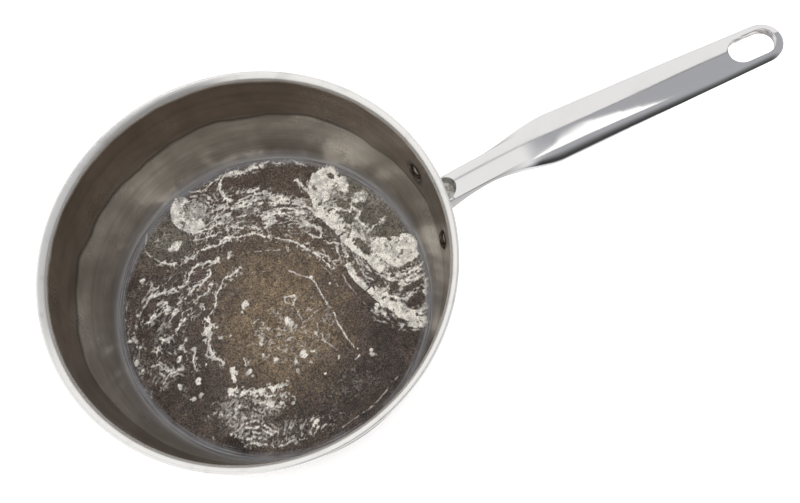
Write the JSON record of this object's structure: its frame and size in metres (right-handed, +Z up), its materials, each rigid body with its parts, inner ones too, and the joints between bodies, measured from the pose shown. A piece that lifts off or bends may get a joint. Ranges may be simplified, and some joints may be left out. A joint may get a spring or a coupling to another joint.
{
  "type": "burnt saucepan",
  "caption": "Deep round steel pan with a leaning wall, flared lip and riveted stick handle; its base is burnt and crusted with lime scale.",
  "frame": {"origin": "on the pan's axis at the underside of its base", "axes": "+Z up along the pan's axis, +X along the handle, +Y to the left of the handle seen from the pan"},
  "size_m": [0.383, 0.2086, 0.1243],
  "materials": {
    "pan_steel": "satin steel, circular brush lines, smoked brown inside",
    "handle_steel": "polished cast steel",
    "rivet_steel": "dark stained steel",
    "burnt_residue": "baked-on brown-black film, dull with olive tints",
    "lime_crust": "chalky off-white mineral scale"
  },
  "bodies": {
    "root": {"pan_body": "pan_steel", "handle": "handle_steel", "rivet_left": "rivet_steel", "rivet_right": "rivet_steel", "burnt_film": "burnt_residue", "lime_scale": "lime_crust"}
  },
  "joints": []
}
